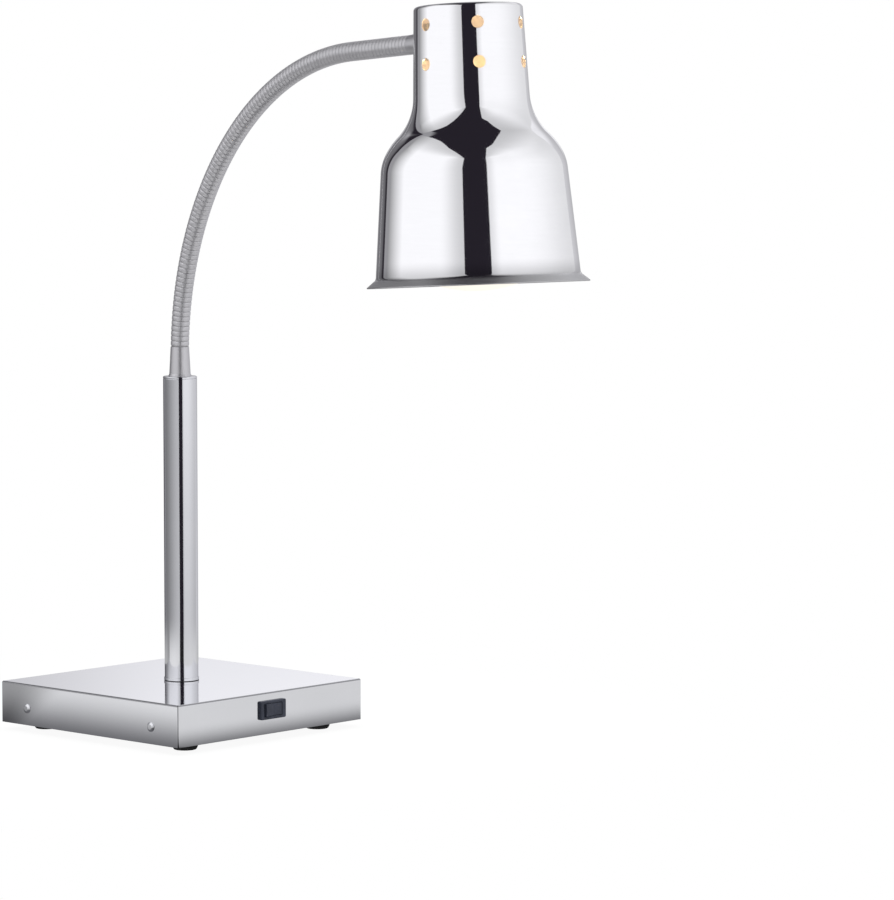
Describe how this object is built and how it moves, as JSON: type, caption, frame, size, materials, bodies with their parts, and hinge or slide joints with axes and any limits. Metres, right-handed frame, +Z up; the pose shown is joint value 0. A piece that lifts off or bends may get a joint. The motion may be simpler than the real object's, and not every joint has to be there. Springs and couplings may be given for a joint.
{
  "type": "food heat lamp",
  "caption": "Free-standing food heat lamp: a mirror-finished shade with a reflector bulb on a ribbed gooseneck, a round post and a square base with a rocker switch.",
  "frame": {"origin": "middle of the square base, on the surface that the rubber feet stand on", "axes": "+Z up; the switch is on the -Y face; the arm leaves the post towards -Y, turned 8.5 degrees towards -X"},
  "size_m": [0.2531, 0.5972, 0.6052],
  "materials": {
    "polished_steel": "polished",
    "hose_steel": "bright plated",
    "shade_metal": "mirror polished",
    "plain_steel": "zinc plated",
    "ballast_iron": "plain",
    "foot_rubber": "matt",
    "switch_plastic": "satin",
    "gland_plastic": "matt",
    "block_plastic": "matt",
    "contact_brass": "bright",
    "holder_ceramic": "glazed",
    "bulb_glass": "frosted, lit"
  },
  "bodies": {
    "base": {"base_housing": "polished_steel", "post_tube": "polished_steel", "post_collar": "polished_steel", "post_cap": "polished_steel", "lower_ferrule": "polished_steel", "side_rivets": "polished_steel", "hose_root": "hose_steel", "base_plate": "plain_steel", "foot_screws": "plain_steel", "post_bush": "plain_steel", "post_washer": "plain_steel", "post_nut": "plain_steel", "ballast_plate": "ballast_iron", "foot_front_left": "foot_rubber", "foot_front_right": "foot_rubber", "foot_rear_left": "foot_rubber", "foot_rear_right": "foot_rubber", "switch_body": "switch_plastic", "cable_gland": "gland_plastic", "gland_nut": "gland_plastic", "terminal_block": "block_plastic", "switch_terminals": "contact_brass", "terminal_screws": "contact_brass"},
    "rocker": {"switch_rocker": "switch_plastic"},
    "link_1": {"hose_link_1": "hose_steel"},
    "link_2": {"hose_link_2": "hose_steel"},
    "link_3": {"hose_link_3": "hose_steel"},
    "link_4": {"hose_link_4": "hose_steel"},
    "link_5": {"hose_link_5": "hose_steel"},
    "link_6": {"hose_link_6": "hose_steel"},
    "link_7": {"hose_link_7": "hose_steel"},
    "link_8": {"hose_link_8": "hose_steel"},
    "link_9": {"hose_link_9": "hose_steel"},
    "head": {"hose_tip": "hose_steel", "upper_ferrule": "polished_steel", "arm_collar": "polished_steel", "arm_nipple": "plain_steel", "arm_washer": "plain_steel", "arm_nut": "plain_steel", "holder_bracket": "plain_steel", "shade": "shade_metal", "lamp_holder": "holder_ceramic", "holder_screws": "plain_steel", "holder_shell": "contact_brass", "holder_contact": "contact_brass", "bulb_cap": "contact_brass", "bulb_glass": "bulb_glass"}
  },
  "joints": [
    {"name": "neck_bend_1", "type": "hinge", "parent": "base", "child": "link_1", "pos_m": [-0.00008, -0.00056, 0.33299], "axis": [0.989, -0.1478, 0], "range_deg": [-8, 5]},
    {"name": "neck_bend_2", "type": "hinge", "parent": "link_1", "child": "link_2", "pos_m": [-0.00089, -0.00593, 0.37081], "axis": [0.989, -0.1478, 0], "range_deg": [-8, 5]},
    {"name": "neck_turn_3", "type": "hinge", "parent": "link_2", "child": "link_3", "pos_m": [-0.00252, -0.01687, 0.40739], "axis": [0.1379, 0.9224, 0.3607], "range_deg": [-8, 8]},
    {"name": "neck_bend_4", "type": "hinge", "parent": "link_3", "child": "link_4", "pos_m": [-0.00495, -0.03312, 0.44189], "axis": [0.989, -0.1478, 0], "range_deg": [-8, 5]},
    {"name": "neck_bend_5", "type": "hinge", "parent": "link_4", "child": "link_5", "pos_m": [-0.00812, -0.05432, 0.47353], "axis": [0.989, -0.1478, 0], "range_deg": [-8, 5]},
    {"name": "neck_turn_6", "type": "hinge", "parent": "link_5", "child": "link_6", "pos_m": [-0.01195, -0.07999, 0.50158], "axis": [0.1006, 0.6733, 0.7325], "range_deg": [-8, 8]},
    {"name": "neck_bend_7", "type": "hinge", "parent": "link_6", "child": "link_7", "pos_m": [-0.01637, -0.10953, 0.52541], "axis": [0.989, -0.1478, 0], "range_deg": [-8, 8]},
    {"name": "neck_bend_8", "type": "hinge", "parent": "link_7", "child": "link_8", "pos_m": [-0.02126, -0.14228, 0.54448], "axis": [0.989, -0.1478, 0], "range_deg": [-8, 8]},
    {"name": "neck_turn_9", "type": "hinge", "parent": "link_8", "child": "link_9", "pos_m": [-0.02653, -0.1775, 0.55835], "axis": [0.0431, 0.2884, 0.9565], "range_deg": [-8, 8]},
    {"name": "neck_bend_10", "type": "hinge", "parent": "link_9", "child": "head", "pos_m": [-0.03204, -0.21438, 0.5667], "axis": [0.989, -0.1478, 0], "range_deg": [-8, 8]},
    {"name": "switch_rock", "type": "hinge", "parent": "base", "child": "rocker", "pos_m": [0, -0.1068, 0.0268], "axis": [0, 0, 1], "range_deg": [-12, 0]}
  ],
  "couplings": [
    {"joint": "neck_bend_2", "follows": "neck_bend_1", "ratio": 1},
    {"joint": "neck_bend_4", "follows": "neck_bend_1", "ratio": 1},
    {"joint": "neck_bend_5", "follows": "neck_bend_1", "ratio": 1},
    {"joint": "neck_turn_6", "follows": "neck_turn_3", "ratio": 1},
    {"joint": "neck_turn_9", "follows": "neck_turn_3", "ratio": 1},
    {"joint": "neck_bend_8", "follows": "neck_bend_7", "ratio": 1},
    {"joint": "neck_bend_10", "follows": "neck_bend_7", "ratio": 1}
  ]
}
